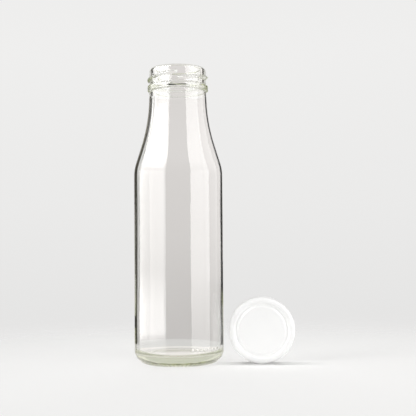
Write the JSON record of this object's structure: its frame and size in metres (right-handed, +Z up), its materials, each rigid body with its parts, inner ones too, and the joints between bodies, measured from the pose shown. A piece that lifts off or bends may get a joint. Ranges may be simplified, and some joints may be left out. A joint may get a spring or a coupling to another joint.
{
  "type": "glass milk bottle",
  "caption": "Tall round clear glass milk bottle with a sloping shoulder and lug finish for pouring and storing drinks, with its white twist-off lid standing on edge beside it.",
  "frame": {"origin": "on the bottle's axis, in the plane that its base ring and the lid stand on", "axes": "+Z up the bottle's axis towards its mouth; +X towards the lid; the lid's outer face looks along -Y"},
  "size_m": [0.0973, 0.0542, 0.18],
  "materials": {
    "clear_glass": "clear flint glass, fire-polished, faint green where it is thick",
    "white_enamel": "white stoving enamel on tinplate, semi-gloss",
    "seal_compound": "off-white sealing compound, smooth"
  },
  "bodies": {
    "bottle": {"glass_bottle": "clear_glass"},
    "lid": {"lid_shell": "white_enamel", "lid_seal": "seal_compound"}
  },
  "joints": [
    {"name": "lid_lift", "type": "slide", "parent": "bottle", "child": "lid", "axis": [0, 0, 1], "range_m": [0, 0.19]}
  ]
}
